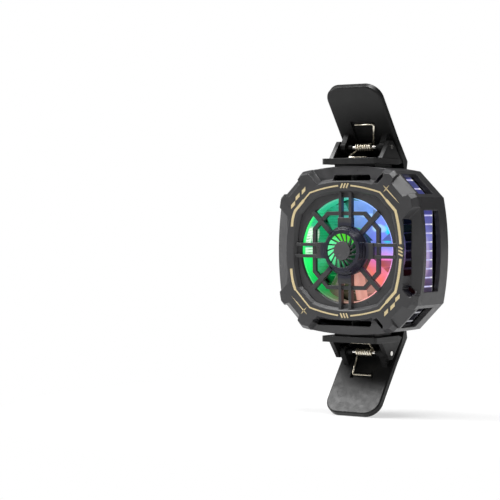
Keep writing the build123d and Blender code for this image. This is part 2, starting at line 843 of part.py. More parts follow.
def clip_bracket():
    base_width = 2 * bracket_half
    length = bracket_rear - bracket_front
    base = RectangleRounded(base_width, length, bracket_corner)
    level = Plane(origin=(0, (bracket_front + bracket_rear) / 2 - total_depth, bracket_bottom))
    body = extrude(level * base, amount=bracket_thickness)
    foot_length = foot_rear - foot_front
    foot_drop = bracket_thickness + body_half / 4
    foot = Pos(0, (foot_front + foot_rear) / 2 - total_depth, bracket_bottom)
    body += foot * Box(2 * foot_half, foot_length, foot_drop,
                       align=(Align.CENTER, Align.CENTER, Align.MAX))
    ear = [
        (pin_depth - ear_foot_front, plate_top),
        (pin_depth - ear_top_front, pin_height + ear_top),
        (pin_depth + ear_top_rear, pin_height + ear_top),
        (pin_depth + ear_foot_rear, pin_height - ear_foot_drop),
        (bracket_rear - bracket_corner, bracket_bottom),
        (pin_depth - ear_foot_front, bracket_bottom),
    ]
    body += across(ear, ear_inner + ear_thickness, ear_inner)
    body += across(ear, -ear_inner, -ear_inner - ear_thickness)
    body -= slab(plan(-skin_gap), cover_rear, rear_cover_rear)
    reach = ear_inner + ear_thickness + overrun
    body -= rod(pin_radius + skin_gap / 2, -reach, reach, pin_depth, pin_height)
    for screw_x in (-bracket_screw_x, bracket_screw_x):
        place = Pos(screw_x, bracket_screw_depth - total_depth, bracket_bottom)
        body -= place * Cylinder(bracket_screw_radius + skin_gap, body_half / 2)
    return body


def bracket_screws():
    screws = []
    for screw_x in (-bracket_screw_x, bracket_screw_x):
        head = Cylinder(bracket_screw_head_radius, bracket_screw_head_height,
                        align=(Align.CENTER, Align.CENTER, Align.MIN))
        shank = Cylinder(bracket_screw_radius, bracket_screw_length,
                         align=(Align.CENTER, Align.CENTER, Align.MAX))
        place = Pos(screw_x, bracket_screw_depth - total_depth, plate_top)
        screws.append(place * (head + shank))
    return Compound(children=[Solid(screw.solid().wrapped) for screw in screws])


def clip_lever():
    outline = [
        from_pin(lever_tip, lever_face),
        from_pin(-lever_elbow, lever_face),
        (jaw_inner, jaw_top),
        (jaw_inner, jaw_bottom),
        (jaw_outer, jaw_bottom),
        (jaw_outer, jaw_top),
        from_pin(-lever_heel, lever_heel_out),
        from_pin(0, lever_face + lever_thickness),
        from_pin(lever_tip, lever_face + lever_thickness),
    ]
    body = across(outline, lever_half)
    tip_depth, tip_height = from_pin(lever_tip, lever_face + lever_thickness / 2)
    tip = Vector(0, tip_depth - total_depth, tip_height)
    upright = (0, -sin(lean), cos(lean))
    corners = [edge for edge in body.edges().filter_by(GeomType.LINE)
               if (edge.center() - tip).length < lever_half + lever_thickness
               and abs(edge.tangent_at(0).X) < sin(lean) / 2
               and abs(edge.tangent_at(0).dot(Vector(*upright))) < sin(lean) / 2]
    body = fillet(corners, radius=lever_corner_radius)
    outward = Vector(0, -cos(lean), -sin(lean))
    facing = [face for face in body.faces() if face.normal_at().dot(outward) > cos(lean)]
    front = max(facing, key=lambda face: face.area)
    body = chamfer(front.edges().sort_by(Axis.Z)[1:], length=lever_chamfer)
    pocket = across([
        from_pin(pocket_top, 0),
        from_pin(pocket_top, lever_face + pocket_depth),
        from_pin(pocket_bottom, lever_face + pocket_depth),
        from_pin(pocket_bottom, 0),
    ], pocket_half)
    body -= pocket
    root = [
        from_pin(lug_radius, 0),
        from_pin(lug_root_up, lever_face + lever_thickness / 2),
        from_pin(-lug_root_down, lever_face + lever_thickness / 2),
        from_pin(-lug_radius, 0),
    ]
    for side in (-1, 1):
        near, far = sorted((side * lug_inner, side * lug_outer))
        body += across(root, far, near)
        body += rod(lug_radius, near, far, pin_depth, pin_height)
        near, far = sorted((side * sleeve_inner, side * lug_inner))
        body += rod(sleeve_radius, near, far, pin_depth, pin_height)
    body -= rod(pin_radius + running_gap, -lever_half, lever_half, pin_depth, pin_height)
    return body


def hinge_pin():
    reach = ear_inner + ear_thickness
    body = rod(pin_radius, -reach, reach, pin_depth, pin_height)
    body += rod(pin_head_radius, reach, reach + pin_head_height, pin_depth, pin_height)
    body += rod(pin_head_radius, -reach - pin_head_height, -reach, pin_depth, pin_height)
    return body


def jaw_pad():
    body = across([
        (jaw_inner - pad_thickness, pad_top),
        (jaw_inner, pad_top),
        (jaw_inner, pad_bottom),
        (jaw_inner - pad_thickness, pad_bottom),
    ], pad_half)
    pitch = (pad_top - pad_bottom) / pad_rib_count
    groove_width = pitch - pad_rib_width
    for index in range(pad_rib_count - 1):
        height = pad_bottom + pitch * (index + 1)
        body -= across([
            (jaw_inner - pad_thickness - overrun, height + groove_width / 2),
            (jaw_inner - pad_thickness + pad_groove_depth, height),
            (jaw_inner - pad_thickness - overrun, height - groove_width / 2),
        ], pad_half + overrun)
    return body


# Clip spring: a coil round the pin with a base leg and a hooked leg

def hook_angle():
    """Lean of the hooked leg that lays its bar in the lever's pocket."""
    bar_out = lever_face + pocket_depth - wire_radius - pocket_floor_gap
    span = hypot(hook_leg_length, coil_mean_radius)
    return lean - asin(bar_out / span) + atan2(coil_mean_radius, hook_leg_length)


def coil_point(angle, start, rise):
    """Point and direction on the coil's centre line at an angle about the pin."""
    point = Vector(coil_left + rise * (angle - start),
                   pin_depth - total_depth + coil_mean_radius * cos(angle),
                   pin_height + coil_mean_radius * sin(angle))
    direction = Vector(rise, -coil_mean_radius * sin(angle), coil_mean_radius * cos(angle))
    return point, direction.normalized()


def two_arcs(begin, begin_way, end, end_way):
    """Two arcs that join two points and meet each other and both directions smoothly."""
    chord = end - begin
    ways = begin_way + end_way
    square = 2 * (1 - begin_way.dot(end_way))
    half_term = chord.dot(ways)
    reach = (sqrt(half_term ** 2 + square * chord.dot(chord)) - half_term) / square
    first = begin + begin_way * reach
    second = end - end_way * reach
    middle = (first + second) * (1 / 2)
    way = (second - first).normalized()
    return [TangentArc(begin, middle, tangent=begin_way), TangentArc(middle, end, tangent=way)]


def leg(start, way, length, turn_way, bar_length):
    """A straight leg that bends round a corner and ends in a straight bar."""
    corner = start + way * length
    before = corner - way * leg_bend_radius
    after = corner + turn_way * leg_bend_radius
    return [Line(start, before), TangentArc(before, after, tangent=way),
            Line(after, corner + turn_way * bar_length)]


def spring_path():
    start = -pi / 2 + radians(base_leg_slope)
    finish = 2 * pi * whole_turns + hook_angle()
    rise = (coil_right - coil_left) / (finish - start)
    steps = round((finish - start) / (pi / 2))
    angles = [start + (finish - start) * index / steps for index in range(steps + 1)]
    edges = []
    for near, far in zip(angles, angles[1:]):
        begin, begin_way = coil_point(near, start, rise)
        end, end_way = coil_point(far, start, rise)
        edges += two_arcs(begin, begin_way, end, end_way)
    begin, begin_way = coil_point(start, start, rise)
    end, end_way = coil_point(finish, start, rise)
    drop = begin.Z - (plate_top + base_gap + wire_radius)
    base_length = drop / begin_way.Z
    right = Vector(1, 0, 0)
    base_corner = begin - begin_way * base_length
    hook_corner = end + end_way * hook_leg_length
    base = leg(begin, begin_way * -1, base_length, right, base_bar_end - base_corner.X)
    hook = leg(end, end_way, hook_leg_length, right * -1, hook_corner.X - hook_bar_end)
    return Wire(base + edges + hook), (start, finish, rise)


def least_coil_gap(start, finish, rise):
    """Least clear distance between one turn of wire and another, measured on points."""
    per_turn = 48
    count = int((finish - start) / (2 * pi) * per_turn)
    points = [coil_point(start + 2 * pi * index / per_turn, start, rise)[0]
              for index in range(count + 1)]
    least = coil_right - coil_left
    for index, point in enumerate(points):
        for other in points[index + per_turn // 2:]:
            least = min(least, (other - point).length)
    return least - 2 * wire_radius


def clip_spring():
    path, span = spring_path()
    print("spring: least gap between turns", round(least_coil_gap(*span), 3), "mm")
    section = Plane(origin=path @ 0, z_dir=path % 0) * Circle(wire_radius)
    return sweep(section, path=path)


# Writing the pieces

pieces = {
    "front_cover": front_cover,
    "outer_shell": outer_shell,
    "rear_cover": rear_cover,
    "cover_screws": cover_screws,
    "fan_grille": fan_grille,
    "hub_cap": hub_cap,
    "light_board": light_board,
    "light_emitters": light_emitters,
    "light_ring": light_ring,
    "cold_plate": cold_plate,
    "cooling_module": cooling_module,
    "module_gasket": module_gasket,
    "heatsink": heatsink,
    "fan_frame": fan_frame,
    "fan_bearing": fan_bearing,
    "motor_stator": motor_stator,
    "rotor_magnet": rotor_magnet,
    "fan_shaft": fan_shaft,
    "fan_rotor": fan_rotor,
    "power_socket": power_socket,
    "control_board": control_board,
}
clip_pieces = {
    "clip_bracket": clip_bracket,
    "bracket_screws": bracket_screws,
    "clip_lever": clip_lever,
    "hinge_pin": hinge_pin,
    "jaw_pad": jaw_pad,
    "clip_spring": clip_spring,
}
for name, make in pieces.items():
    export_step(make(), "parts/" + name + ".step")
for name, make in clip_pieces.items():
    shape = make()
    export_step(shape, "parts/upper_" + name + ".step")
    export_step(Rot(0, 180, 0) * shape, "parts/lower_" + name + ".step")
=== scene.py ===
from math import asin, atan2, cos, hypot, pi, radians, sin

import bmesh
import bpy
from mathutils import Matrix, Vector
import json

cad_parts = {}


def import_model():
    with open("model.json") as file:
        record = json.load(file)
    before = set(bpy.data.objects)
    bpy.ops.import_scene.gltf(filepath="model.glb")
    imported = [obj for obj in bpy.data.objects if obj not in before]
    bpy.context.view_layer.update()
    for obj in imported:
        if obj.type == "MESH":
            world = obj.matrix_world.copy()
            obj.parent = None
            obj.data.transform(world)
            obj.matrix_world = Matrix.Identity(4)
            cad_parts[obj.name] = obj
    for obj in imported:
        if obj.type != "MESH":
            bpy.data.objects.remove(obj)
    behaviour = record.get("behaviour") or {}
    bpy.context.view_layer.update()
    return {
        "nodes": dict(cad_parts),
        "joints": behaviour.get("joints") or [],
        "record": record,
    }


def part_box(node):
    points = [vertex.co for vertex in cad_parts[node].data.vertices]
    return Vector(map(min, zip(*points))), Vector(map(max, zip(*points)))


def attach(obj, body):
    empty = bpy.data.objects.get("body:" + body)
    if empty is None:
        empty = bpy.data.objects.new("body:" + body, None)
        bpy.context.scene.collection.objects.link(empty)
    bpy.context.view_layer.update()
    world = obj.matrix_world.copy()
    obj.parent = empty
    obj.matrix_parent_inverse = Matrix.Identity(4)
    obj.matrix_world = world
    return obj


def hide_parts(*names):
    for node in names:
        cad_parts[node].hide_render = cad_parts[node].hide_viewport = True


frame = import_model()
nodes = frame["nodes"]
joints = {joint["name"]: joint for joint in frame["joints"]}

# Units and places, in metres, in the frame of the part
MM = 0.001
FACE_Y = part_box("front_cover")[0].y
FLOOR_GAP = 0.05 * MM
FLOOR_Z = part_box("lower_clip_lever")[0].z - FLOOR_GAP
UPPER_PIN = Vector(joints["upper_clip_hinge"]["pos_m"])

# Camera, with its lens and sensor in millimetres
CAMERA_PLACE = Vector((364.1, -624.7, 14.9)) * MM
CAMERA_AZIMUTH = radians(34.46)
CAMERA_ELEVATION = radians(1.20)
CAMERA_LENS = 124.85
SENSOR = 36.0

# Gold print on the cover's face
PRINT_HEIGHT = 0.03 * MM
PRINT_WIDE = 1.15 * MM
PRINT_NARROW = 0.62 * MM
MITRE_FLOOR = 0.6                    # keeps a strip's corners from growing long

# Springs
WIRE_RADIUS = 0.40 * MM
COIL_MEAN_RADIUS = 1.29 * MM
COIL_LEFT = -4.1 * MM
COIL_RIGHT = 3.7 * MM
COIL_TURNS = 8
COIL_STEPS = 40                      # points to a turn
LEG_BEND = 0.9 * MM
HOOK_LENGTH = 9.4 * MM
HOOK_BAR_END = -4.0 * MM
BASE_SLOPE = radians(29.4)
BASE_BAR_END = 3.7 * MM
LEVER_LEAN = radians(36.5)
TAB_FACE = 4.25 * MM                 # from the pin's axis to the tab's front face
POCKET_FLOOR = 5.15 * MM             # from the pin's axis to the pocket's floor
POCKET_PLAY = 0.08 * MM              # between the hook's bar and the pocket's floor
LEDGE_DROP = 4.6 * MM                # from the pin's axis down to the bracket's plate
LEDGE_PLAY = 0.06 * MM               # between the base leg and the plate

# Ejector marks: place across the lever and along it from the pin, in mm
MARKS = [(6.6, 17.0), (-6.6, 15.5)]
MARK_RADIUS = 2.2 * MM
MARK_LIFT = 0.05 * MM
MARK_WIDTH = 0.22 * MM
MARK_SIDES = 40

# The middle part of a noise's values, which the materials stretch
BAND = (0.3, 0.7)
WIDE_BAND = (0.25, 0.75)


# Node trees

class Tree:
    """A material's nodes, added one at a time."""

    MIX_FIRST, MIX_SECOND, MIX_RESULT = 6, 7, 2     # the mix node's colour sockets

    def __init__(self, name):
        self.material = bpy.data.materials.new(name)
        self.material.use_nodes = True
        self.nodes = self.material.node_tree.nodes
        self.links = self.material.node_tree.links
        self.shader = self.nodes["Principled BSDF"]
        self.output = self.nodes["Material Output"]

    def add(self, kind, inputs=None, **settings):
        """A new node with these inputs and settings."""
        node = self.nodes.new(kind)
        for key, value in settings.items():
            setattr(node, key, value)
        for key, value in (inputs or {}).items():
            self.put(node.inputs[key], value)
        return node

    def put(self, socket, value):
        """Link the input to a socket, or set it; a colour of three numbers gets an alpha of 1."""
        if isinstance(value, bpy.types.NodeSocket):
            self.links.new(value, socket)
        elif socket.type == "RGBA" and len(value) == 3:
            socket.default_value = (*value, 1)
        else:
            socket.default_value = value

    def math(self, operation, first, second=0.0):
        """The result of an operation on one or two values."""
        node = self.add("ShaderNodeMath", {0: first, 1: second}, operation=operation)
        return node.outputs[0]

    def place(self):
        """The place on the object, in the frame of the part."""
        return self.add("ShaderNodeTexCoord").outputs["Object"]

    def axes(self, vector=None):
        """The three parts of a vector, or else of the place on the object."""
        split = self.add("ShaderNodeSeparateXYZ", {0: vector or self.place()})
        return split.outputs

    def noise(self, scale, detail=3.0, roughness=0.5, vector=None):
        """Noise with about this many lumps to the metre."""
        node = self.add("ShaderNodeTexNoise", {"Vector": vector or self.place(), "Scale": scale,
                                               "Detail": detail, "Roughness": roughness})
        return node.outputs["Fac"]

    def ramp(self, factor, stops):
        """The colour that a factor picks between these stops."""
        node = self.add("ShaderNodeValToRGB", {0: factor})
        elements = node.color_ramp.elements
        while len(elements) < len(stops):
            elements.new(0.5)
        for element, (place, colour) in zip(elements, stops):
            element.position = place
            element.color = (*colour, 1)
        return node.outputs["Color"]

    def mix(self, factor, first, second, blend="MIX"):
        """Two colours, mixed by a factor."""
        node = self.add("ShaderNodeMix", data_type="RGBA", blend_type=blend)
        self.put(node.inputs["Factor"], factor)
        self.put(node.inputs[self.MIX_FIRST], first)
        self.put(node.inputs[self.MIX_SECOND], second)
        return node.outputs[self.MIX_RESULT]

    def span(self, value, low, high, to_low=0.0, to_high=1.0):
        """A value moved from one range to another, and held inside it."""
        node = self.add("ShaderNodeMapRange", {0: value, 1: low, 2: high, 3: to_low, 4: to_high})
        return node.outputs[0]

    def bump(self, height, distance, strength=1.0, normal=None):
        """Normals tilted by a height, whose whole range stands for the distance in metres."""
        inputs = {"Height": height, "Distance": distance, "Strength": strength}
        if normal:
            inputs["Normal"] = normal
        return self.add("ShaderNodeBump", inputs).outputs["Normal"]

    def rounded(self, radius):
        """Normals that turn softly over the sharp edges, as a mould's radius does."""
        return self.add("ShaderNodeBevel", {"Radius": radius}, samples=6).outputs["Normal"]

    def set(self, **values):
        """Set the shader's inputs by short names, and return the material."""
        names = {"colour": "Base Color", "roughness": "Roughness", "metallic": "Metallic",
                 "normal": "Normal", "coat": "Coat Weight", "specular": "Specular IOR Level",
                 "glow": "Emission Color", "glow_strength": "Emission Strength"}
        for key, value in values.items():
            self.put(self.shader.inputs[names[key]], value)
        return self.material


def grey(tree, value):
    """A value as a grey, as a socket."""
    return tree.add("ShaderNodeCombineColor", {0: value, 1: value, 2: value}).outputs[0]


def moulded_plastic(name, colour, roughness, grain=0.012 * MM, specular=0.5, edge=0.25 * MM,
                    glow=None):
    """Moulded plastic with fine grain, faint flow marks and rubbed patches.

    Its colour, shine or glow may be a function that adds nodes to the tree.
    """
    tree = Tree(name)
    if callable(colour):
        colour = colour(tree)
    if callable(specular):
        specular = specular(tree)
    fine = tree.noise(5200, detail=2.0, roughness=0.6)
    broad = tree.noise(90, detail=4.0, roughness=0.55)
    marks = tree.noise(420, detail=5.0, roughness=0.65)
    tone = tree.span(broad, *BAND, 0.86, 1.14)
    speck = tree.span(fine, *BAND, 0.93, 1.07)
    shade = tree.math("MULTIPLY", tone, speck)
    plain = tree.mix(1.0, colour, grey(tree, shade), "MULTIPLY")
    rough = tree.span(marks, 0.3, 0.72, roughness - 0.07, roughness + 0.09)
    height = tree.math("ADD", fine, tree.math("MULTIPLY", marks, 0.6))
    if glow:
        tree.set(glow=glow(tree), glow_strength=TRIM_GLOW)
    return tree.set(colour=plain, roughness=rough, specular=specular,
                    normal=tree.bump(height, grain, 0.55, tree.rounded(edge)))


def brushed_metal(name, colour, roughness, stretch, grain=0.004 * MM):
    """Metal with fine draw marks along one axis; stretch gives the noise scale on each axis."""
    tree = Tree(name)
    mapping = tree.add("ShaderNodeMapping", {"Vector": tree.place(), "Scale": stretch})
    lines = tree.noise(1.0, detail=5.0, roughness=0.6, vector=mapping.outputs[0])
    cloud = tree.noise(160, detail=3.0)
    tone = tree.span(lines, *WIDE_BAND, 0.8, 1.12)
    plain = tree.mix(1.0, colour, grey(tree, tone), "MULTIPLY")
    rough = tree.math("ADD", tree.span(lines, 0.2, 0.8, roughness - 0.06, roughness + 0.06),
                      tree.span(cloud, *BAND, -0.03, 0.05))
    return tree.set(colour=plain, metallic=1.0, roughness=rough,
                    normal=tree.bump(lines, grain, 0.5))


# The colours that the lights throw, round the fan axis from the right and upwards
LEAF_GREEN = (0.0, 0.30, 0.10)
MINT = (0.03, 0.42, 0.18)
DARK_GREEN = (0.0, 0.27, 0.05)
OLIVE = (0.045, 0.06, 0.022)
TEAL = (0.02, 0.40, 0.22)
AQUA = (0.11, 0.44, 0.42)
SKY = (0.20, 0.38, 0.83)
PERIWINKLE = (0.22, 0.31, 0.96)
LAVENDER = (0.55, 0.37, 0.96)
PINK = (0.88, 0.23, 0.66)
ROSE = (0.96, 0.23, 0.32)
CORAL = (0.96, 0.20, 0.16)
SALMON = (0.70, 0.33, 0.27)
UMBER = (0.15, 0.11, 0.08)
CRESCENT_GREEN = (0.0, 0.80, 0.12)
BLADE_WHEEL = [
    (0.0, LAVENDER), (0.03, PERIWINKLE), (0.10, PERIWINKLE), (0.16, SKY), (0.24, SKY),
    (0.275, AQUA), (0.33, TEAL), (0.41, LEAF_GREEN), (0.47, MINT), (0.55, MINT),
    (0.60, DARK_GREEN), (0.65, OLIVE), (0.71, UMBER), (0.765, SALMON), (0.84, SALMON),
    (0.875, CORAL), (0.91, ROSE), (0.955, PINK), (1.0, LAVENDER),
]
RING_WHEEL = [
    (0.0, LAVENDER), (0.04, PERIWINKLE), (0.2, SKY), (0.27, TEAL), (0.35, TEAL),
    (0.41, CRESCENT_GREEN), (0.55, CRESCENT_GREEN), (0.64, DARK_GREEN), (0.72, UMBER),
    (0.80, SALMON), (0.90, ROSE), (1.0, LAVENDER),
]
BLADE_WAVER = 0.02                   # of the colours' edges, as a share of a turn
FIN_WAVER = 0.015
LINE_PITCH = 1.15 * MM               # of the fine level lines in the green light
LINE_WAVER = 0.3 * MM
BLADE_LINE_DARK = 0.38               # light left in a line's middle
RING_LINE_DARK = 0.06
WHITE = (1.0, 1.0, 1.0)
BLACK = (0.0, 0.0, 0.0)
HUB_GREEN = (0.16, 1.0, 0.40)
HUB_LIME = (0.09, 0.72, 0.03)
FIN_PALE = (0.60, 0.52, 0.66)
FIN_LINE_VIOLET = (0.60, 0.58, 0.96)
FIN_LINE_WHITE = (1.0, 0.98, 1.0)
FIN_LINE_GREY = (0.42, 0.42, 0.45)

# How strongly each material glows
TRIM_GLOW = 0.9
BLADE_GLOW = 0.85
RING_GLOW = 0.95
FIN_GLOW = 0.85
EMITTER_GLOW = 2.0

# Plastics: their colours, the size of an edge and the height of the grain
CHARCOAL = (0.033, 0.0325, 0.034)
# The hub cap's paler centre disc is a painted reflection
DISC_REFLECTION_GREY = (0.062, 0.062, 0.064)
TRIM_BLACK = (0.013, 0.013, 0.024)
COLLAR_BLACK = (0.013, 0.013, 0.027)
LEVER_BLACK = (0.009, 0.009, 0.009)
COVER_EDGE = 0.45 * MM
TRIM_GRAIN = 0.004 * MM
LEVER_GRAIN = 0.008 * MM

# Light by the height of the fins, from the lowest up
FIN_RAMP = [
    (0.0, (0.02, 0.02, 0.025)), (0.14, (0.02, 0.02, 0.025)), (0.19, (0.07, 0.06, 0.11)),
    (0.32, (0.13, 0.11, 0.25)), (0.46, (0.23, 0.21, 0.45)), (0.60, (0.19, 0.19, 0.46)),
    (0.74, (0.12, 0.12, 0.38)), (0.82, (0.06, 0.06, 0.28)), (1.0, (0.08, 0.09, 0.27)),
]

# Soft oval patches of light: the middle and the reach of each in x and z, in mm
HUB_PATCH = ((-0.5, 6.4), (5.6, 4.4))
FIN_PATCH = ((27.5, -2), (2.2, 9))
BLADE_PATCHES = [
    ((16.5, 7), (3.2, 4.5), (0.02, 0.76, 0.90)),
    ((12, 9), (3, 2), (0.45, 0.75, 0.98)),
    ((8, 14), (5, 1.2), (0.40, 0.66, 0.95)),
    ((-18, 5.5), (2.2, 3.6), (0.66, 0.86, 0.70)),
]
RING_PATCHES = [
    ((-21, 6), (6, 4.2), (0.86, 0.97, 0.88)),
    ((-21, -0.4), (6, 1.6), (0.70, 0.97, 0.78)),
]

# Where one look fades into the next: the place of the first, then of the second
HUB_LEFT_FADE = (-0.5 * MM, -4.5 * MM)
HUB_LOW_FADE = (-7 * MM, -3 * MM)
DISC_REFLECTION_FADE = (4.2 * MM, 6.0 * MM)
COLLAR_FADE = (11.0 * MM, 11.9 * MM)
TAB_FADE = (43 * MM, 61 * MM)
PLATE_FADE = (43 * MM, 37 * MM)
BLADE_LEFT_FADE = (-1 * MM, -5 * MM)
BLADE_LOW_FADE = (-12 * MM, -8 * MM)
BLADE_ROOT_FADE = (9 * MM, 13 * MM)
ROTOR_HUB_FADE = (9.6 * MM, 9.3 * MM)
RING_REAR_FADE = (FACE_Y + 3.3 * MM, FACE_Y + 4.0 * MM)
RING_LEFT_FADE = (-12 * MM, -16 * MM)
RING_LOW_FADE = (-4 * MM, -1 * MM)
FIN_INSIDE_FADE = (22.6 * MM, 21 * MM)
FIN_HEIGHT_FADE = (-26 * MM, 26 * MM)
FIN_REAR_FADE = (FACE_Y + 15.6 * MM, FACE_Y + 16.6 * MM)
FIN_LOW_FADE = (-17 * MM, -20 * MM)
FIN_OUTWARD_FADE = (22.5 * MM, 24 * MM)
FIN_UPWARD_FADE = (20 * MM, 21.5 * MM)
FIN_CORNER_FADE = (17.5 * MM, 19.5 * MM)
FIN_RIGHT_FADE = (11 * MM, 14 * MM)

# Where one look ends sharply
BORE_FRONT = FACE_Y - 1.5 * MM
BORE_OUTER = 7.45 * MM
BORE_INNER = 3.9 * MM
RING_FLANGE = 22.4 * MM
FIN_FRONT_SHADE = FACE_Y + 6.6 * MM
FIN_REAR_SHADE = FACE_Y + 17.55 * MM
# Beyond this radius the fins' metal is painted dark as shade, except at the windows
FIN_PAINTED_SHADE_RADIUS = 18 * MM


def wheel_colour(tree, wheel, softness=0.0):
    """The light's colour by the angle round the fan axis, as a socket."""
    x, _, z = tree.axes()
    share = tree.math("DIVIDE", tree.math("ARCTAN2", z, x), 2 * pi)
    share = tree.math("ADD", share, 1.0)
    if softness:
        waver = tree.span(tree.noise(120, detail=3.0), *WIDE_BAND, -softness, softness)
        share = tree.math("ADD", share, waver)
    return tree.ramp(tree.math("FRACT", share), wheel)


def from_axis(tree):
    """Distance from the fan axis, as a socket."""
    x, _, z = tree.axes()
    squares = tree.math("ADD", tree.math("MULTIPLY", x, x), tree.math("MULTIPLY", z, z))
    return tree.math("SQRT", squares)


def spot(tree, middle, reach):
    """One inside a soft oval patch of the fan's plane, falling to nothing at its edge."""
    x, _, z = tree.axes()
    across = tree.math("DIVIDE", tree.math("SUBTRACT", x, middle[0] * MM), reach[0] * MM)
    along = tree.math("DIVIDE", tree.math("SUBTRACT", z, middle[1] * MM), reach[1] * MM)
    away = tree.math("ADD", tree.math("MULTIPLY", across, across),
                     tree.math("MULTIPLY", along, along))
    return tree.span(away, 1.0, 0.45)


def level_lines(tree, dark):
    """Fine level lines, broken and wavering a little, as a factor that dips to dark."""
    z = tree.axes()["Z"]
    waver = tree.span(tree.noise(200, detail=2.0), *WIDE_BAND, -LINE_WAVER, LINE_WAVER)
    turn = tree.math("DIVIDE", tree.math("ADD", z, waver), LINE_PITCH)
    line = tree.math("COSINE", tree.math("MULTIPLY", turn, 2 * pi))
    broken = tree.span(tree.noise(330, detail=3.0), 0.35, 0.6)
    depth = tree.math("MULTIPLY", tree.span(line, 0.35, 0.8), broken)
    return tree.span(depth, 0.0, 1.0, 1.0, dark)


def hub_light(tree):
    """The green light inside the hub: whitish on the left, lime at the top, dark elsewhere."""
    x, _, z = tree.axes()
    left = tree.math("MULTIPLY", tree.span(x, *HUB_LEFT_FADE, 0.03, 1.0),
                     tree.span(z, *HUB_LOW_FADE, 0.18, 1.0))
    top = spot(tree, *HUB_PATCH)
    colour = tree.mix(top, HUB_GREEN, HUB_LIME)
    light = tree.math("MAXIMUM", left, top)
    return tree.mix(1.0, colour, grey(tree, light), "MULTIPLY")


def bore_light(tree):
    """The same light on the walls inside the hub cap and the grille's middle ring."""
    radius = from_axis(tree)
    behind = tree.math("GREATER_THAN", tree.axes()["Y"], BORE_FRONT)
    near = tree.math("LESS_THAN", radius, BORE_OUTER)
    clear = tree.math("GREATER_THAN", radius, BORE_INNER)
    inside = tree.math("MULTIPLY", tree.math("MULTIPLY", behind, near), clear)
    return tree.mix(1.0, hub_light(tree), grey(tree, inside), "MULTIPLY")


def trim_colour(tree):
    """The hub cap's centre disc is painted paler than the glossy collar round it, as a painted
    reflection.
    """
    return tree.mix(tree.span(from_axis(tree), *DISC_REFLECTION_FADE), DISC_REFLECTION_GREY, TRIM_BLACK)


def grille_colour(tree):
    """The grille is charcoal, with a darker and bluer collar in its middle."""
    return tree.mix(tree.span(from_axis(tree), *COLLAR_FADE), COLLAR_BLACK, CHARCOAL)


def lever_sheen(tree):
    """The levers' and brackets' shine, least at the shaded hinge between them."""
    height = tree.math("ABSOLUTE", tree.axes()["Z"])
    tab = tree.span(height, *TAB_FADE, 0.04, 0.28)
    plate = tree.span(height, *PLATE_FADE, 0.06, 0.42)
    return tree.math("MAXIMUM", tab, plate)


def lit_blades():
    """Milky blades and hub that carry the light ring's colours, with lines in the green."""
    tree = Tree("lit_blade_plastic")
    x, _, z = tree.axes()
    colour = wheel_colour(tree, BLADE_WHEEL, BLADE_WAVER)
    radius = from_axis(tree)
    for middle, reach, light in BLADE_PATCHES:
        colour = tree.mix(spot(tree, middle, reach), colour, light)
    left = tree.span(x, *BLADE_LEFT_FADE)
    upper = tree.span(z, *BLADE_LOW_FADE)
    lined = tree.math("MULTIPLY", left, upper)
    lines = tree.mix(lined, WHITE, grey(tree, level_lines(tree, BLADE_LINE_DARK)))
    streaks = tree.span(tree.noise(260, detail=4.0), *BAND, 0.86, 1.10)
    shade = tree.math("MULTIPLY", streaks, tree.span(radius, *BLADE_ROOT_FADE, 0.8, 1.0))
    blade_glow = tree.mix(1.0, tree.mix(1.0, colour, grey(tree, shade), "MULTIPLY"), lines,
                          "MULTIPLY")
    on_hub = tree.span(radius, *ROTOR_HUB_FADE)
    glow = tree.mix(on_hub, blade_glow, hub_light(tree))
    body = tree.mix(on_hub, tree.mix(0.8, (0.2, 0.22, 0.22), colour), (0.03, 0.035, 0.035))
    body = tree.mix(1.0, body, (0.4, 0.4, 0.4), "MULTIPLY")
    fine = tree.noise(3000, detail=2.0)
    return tree.set(colour=body, roughness=tree.span(fine, *BAND, 0.24, 0.36),
                    normal=tree.bump(fine, 0.005 * MM, 0.4), glow=glow,
                    glow_strength=BLADE_GLOW)


def lit_ring():
    """Milky ring in front of the light emitters, with lines and white blocks at its rear."""
    tree = Tree("lit_ring_plastic")
    x, y, z = tree.axes()
    colour = wheel_colour(tree, RING_WHEEL)
    rear = tree.span(y, *RING_REAR_FADE)
    inner_colour = TEAL
    for middle, reach, light in RING_PATCHES:
        inner_colour = tree.mix(spot(tree, middle, reach), inner_colour, light)
    lined = tree.mix(1.0, inner_colour, grey(tree, level_lines(tree, RING_LINE_DARK)), "MULTIPLY")
    left = tree.span(x, *RING_LEFT_FADE)
    upper = tree.span(z, *RING_LOW_FADE)
    here = tree.math("MULTIPLY", tree.math("MULTIPLY", left, upper), rear)
    glow = tree.mix(here, colour, lined)
    flange = tree.math("GREATER_THAN", from_axis(tree), RING_FLANGE)
    glow = tree.mix(flange, glow, BLACK)
    fine = tree.noise(2600, detail=2.0)
    return tree.set(colour=tree.mix(0.6, (0.3, 0.32, 0.34), colour),
                    roughness=tree.span(fine, *BAND, 0.28, 0.4),
                    normal=tree.bump(fine, 0.005 * MM, 0.4), glow=glow,
                    glow_strength=RING_GLOW)


